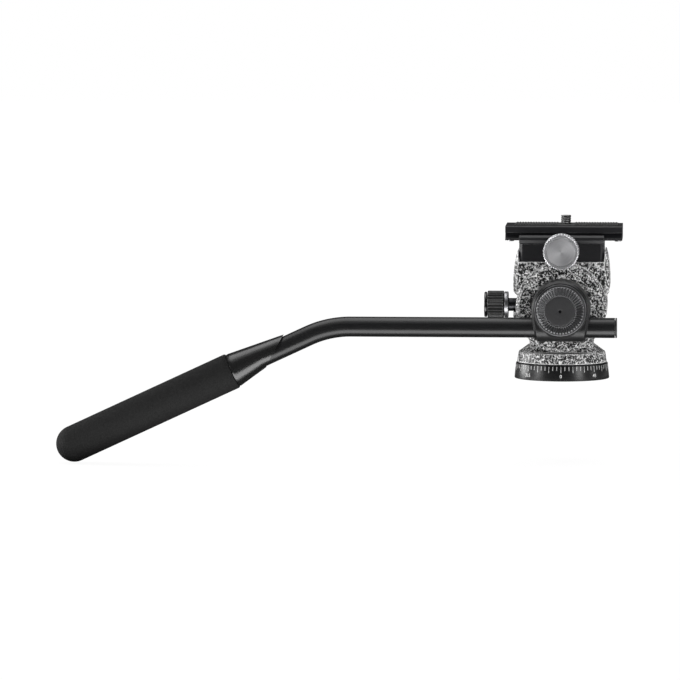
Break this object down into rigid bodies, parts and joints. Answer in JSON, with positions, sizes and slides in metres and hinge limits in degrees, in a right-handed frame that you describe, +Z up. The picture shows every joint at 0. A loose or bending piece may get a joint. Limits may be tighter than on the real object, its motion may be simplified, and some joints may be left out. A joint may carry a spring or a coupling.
{
  "type": "fluid head",
  "caption": "Two-way fluid head: graduated panning base, tilting cradle with dovetail quick-release clamp and plate, and a cranked pan handle in a clamping collar.",
  "frame": {"origin": "centre of the face that sits on the tripod, on the pan axis", "axes": "+X the way the lens looks, -Y the side that carries the handle, +Z up along the pan axis"},
  "size_m": [0.3387, 0.0954, 0.1474],
  "materials": {
    "speckled_casting": "cast, black textured coat with fine light-grey speckle",
    "black_anodised": "black anodised, satin",
    "black_gloss": "moulded, gloss black",
    "black_plastic": "moulded, matte black",
    "knob_grey": "moulded, dark grey satin",
    "bright_aluminium": "turned and brushed",
    "steel": "turned steel",
    "bronze": "sintered bronze",
    "washer_polymer": "low-friction polymer",
    "pad_rubber": "ribbed rubber",
    "grip_foam": "fine closed-cell foam rubber"
  },
  "bodies": {
    "base": {"base_ring": "black_anodised", "thread_insert": "steel", "pan_spindle": "steel", "base_screw_1": "steel", "base_screw_2": "steel", "base_screw_3": "steel", "pan_washer": "washer_polymer", "pan_nut": "steel"},
    "pan": {"pan_housing": "speckled_casting", "pan_bush": "bronze", "thrust_washer": "steel", "front_plug": "steel", "bearing_cover": "black_anodised", "tilt_bush_right": "bronze", "tilt_bush_left": "bronze", "drag_stator": "black_anodised"},
    "pan_brake": {"pan_brake_shoe": "bronze"},
    "pan_lock": {"pan_lock_stem": "steel", "pan_lock_knob": "black_plastic"},
    "tilt_brake": {"tilt_brake_pad": "bronze"},
    "tilt_lock": {"tilt_lock_stem": "steel", "tilt_lock_washer": "bright_aluminium", "tilt_lock_knob": "black_plastic", "tilt_lock_cap": "black_gloss"},
    "tilt": {"cradle": "speckled_casting", "tilt_axle": "steel", "axle_nut": "steel", "drag_rotor": "bright_aluminium", "collar_washer": "washer_polymer", "side_cap": "black_anodised", "clamp_base": "black_anodised", "clamp_screw_1": "steel", "clamp_screw_2": "steel", "clamp_screw_3": "steel", "clamp_screw_4": "steel", "jaw_guide_pin_1": "steel", "jaw_guide_pin_2": "steel", "jaw_spring_1": "steel", "jaw_spring_2": "steel"},
    "jaw": {"clamp_jaw": "black_anodised"},
    "clamp_turn": {"clamp_knob": "bright_aluminium", "clamp_knob_cap": "bright_aluminium", "clamp_stud": "steel"},
    "plate": {"plate_body": "black_anodised", "plate_pad": "pad_rubber", "plate_stop_screw_1": "steel", "plate_stop_screw_2": "steel"},
    "camera_turn": {"camera_screw": "steel", "screw_retainer": "steel"},
    "collar": {"handle_collar": "black_anodised"},
    "handle_turn": {"knob_stud": "steel", "knob_flange": "knob_grey", "handle_knob": "knob_grey", "handle_knob_cap": "knob_grey"},
    "handle": {"handle_tube": "black_anodised", "tube_plug": "black_plastic", "ferrule": "black_gloss", "grip": "grip_foam"}
  },
  "joints": [
    {"name": "pan_turn", "type": "hinge", "parent": "base", "child": "pan", "pos_m": [0, 0, 0], "axis": [0, 0, 1], "continuous": true},
    {"name": "pan_lock_turn", "type": "hinge", "parent": "pan", "child": "pan_lock", "pos_m": [0, 0.03, 0.0132], "axis": [0, -1, 0], "range_deg": [0, 181]},
    {"name": "pan_brake_slide", "type": "slide", "parent": "pan", "child": "pan_brake", "axis": [0, -1, 0], "range_m": [0, 0.0005]},
    {"name": "tilt_lock_turn", "type": "hinge", "parent": "pan", "child": "tilt_lock", "pos_m": [-0.03, 0, 0.044], "axis": [1, 0, 0], "range_deg": [0, 181]},
    {"name": "tilt_brake_slide", "type": "slide", "parent": "pan", "child": "tilt_brake", "axis": [1, 0, 0], "range_m": [0, 0.0005]},
    {"name": "tilt_turn", "type": "hinge", "parent": "pan", "child": "tilt", "pos_m": [0, 0, 0.044], "axis": [0, 1, 0], "range_deg": [-30, 80]},
    {"name": "jaw_slide", "type": "slide", "parent": "tilt", "child": "jaw", "axis": [0, -1, 0], "range_m": [0, 0.003]},
    {"name": "clamp_knob_turn", "type": "hinge", "parent": "jaw", "child": "clamp_turn", "pos_m": [0, -0.03, 0.078], "axis": [0, -1, 0], "range_deg": [0, 1082]},
    {"name": "plate_slide", "type": "slide", "parent": "tilt", "child": "plate", "axis": [1, 0, 0], "range_m": [-0.0058, 0.0034]},
    {"name": "camera_screw_turn", "type": "hinge", "parent": "plate", "child": "camera_turn", "pos_m": [0.0022, 0, 0.09], "axis": [0, 0, 1], "continuous": true},
    {"name": "collar_swing", "type": "hinge", "parent": "tilt", "child": "collar", "pos_m": [0, 0, 0.044], "axis": [0, 1, 0], "range_deg": [-75, 75]},
    {"name": "handle_knob_turn", "type": "hinge", "parent": "collar", "child": "handle_turn", "pos_m": [0, 0, 0.044], "axis": [0, -1, 0], "range_deg": [0, 540]},
    {"name": "handle_slide", "type": "slide", "parent": "collar", "child": "handle", "axis": [1, 0, 0], "range_m": [-0.012, 0.09]}
  ],
  "couplings": [
    {"joint": "pan_lock_turn", "follows": "pan_brake_slide", "rad_per_m": 6283.2},
    {"joint": "tilt_lock_turn", "follows": "tilt_brake_slide", "rad_per_m": 6283.2},
    {"joint": "clamp_knob_turn", "follows": "jaw_slide", "rad_per_m": 6283.2}
  ]
}
